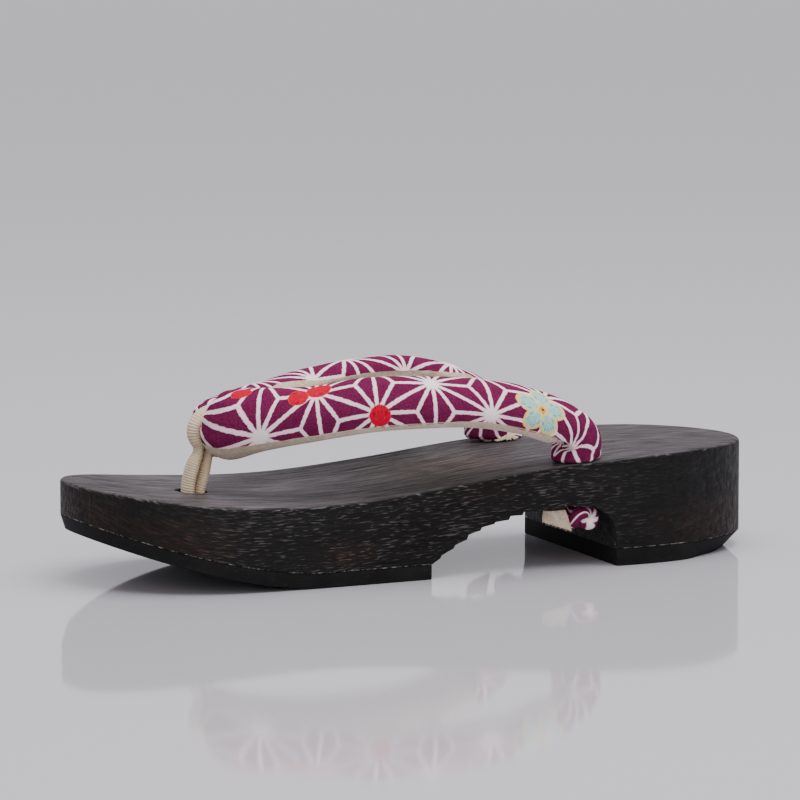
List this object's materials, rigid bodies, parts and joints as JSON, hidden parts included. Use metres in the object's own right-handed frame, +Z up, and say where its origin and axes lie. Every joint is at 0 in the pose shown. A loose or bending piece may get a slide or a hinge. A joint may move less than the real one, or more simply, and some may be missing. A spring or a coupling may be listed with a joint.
{
  "type": "wooden sandal",
  "caption": "Geta sandal: a carved wooden foot board with an arched hollow, rubber treads, and a padded cloth thong held by a toe loop.",
  "frame": {"origin": "on the floor, halfway along the sandal and on its centre line", "axes": "+X from heel to toe, +Y to the wearer's left, +Z up"},
  "size_m": [0.24, 0.0872, 0.0651],
  "materials": {
    "charred_wood": "charred and brushed",
    "black_rubber": "matte",
    "print_cloth": "printed crepe",
    "lining_cloth": "napped",
    "cord_cloth": "ribbed"
  },
  "bodies": {
    "root": {"board": "charred_wood", "front_tread": "black_rubber", "heel_tread": "black_rubber", "straps": "print_cloth", "strap_lining": "lining_cloth", "toe_loop": "cord_cloth", "toe_knot": "cord_cloth", "left_knot": "print_cloth", "right_knot": "print_cloth", "left_tail": "lining_cloth", "right_tail": "lining_cloth"}
  },
  "joints": []
}
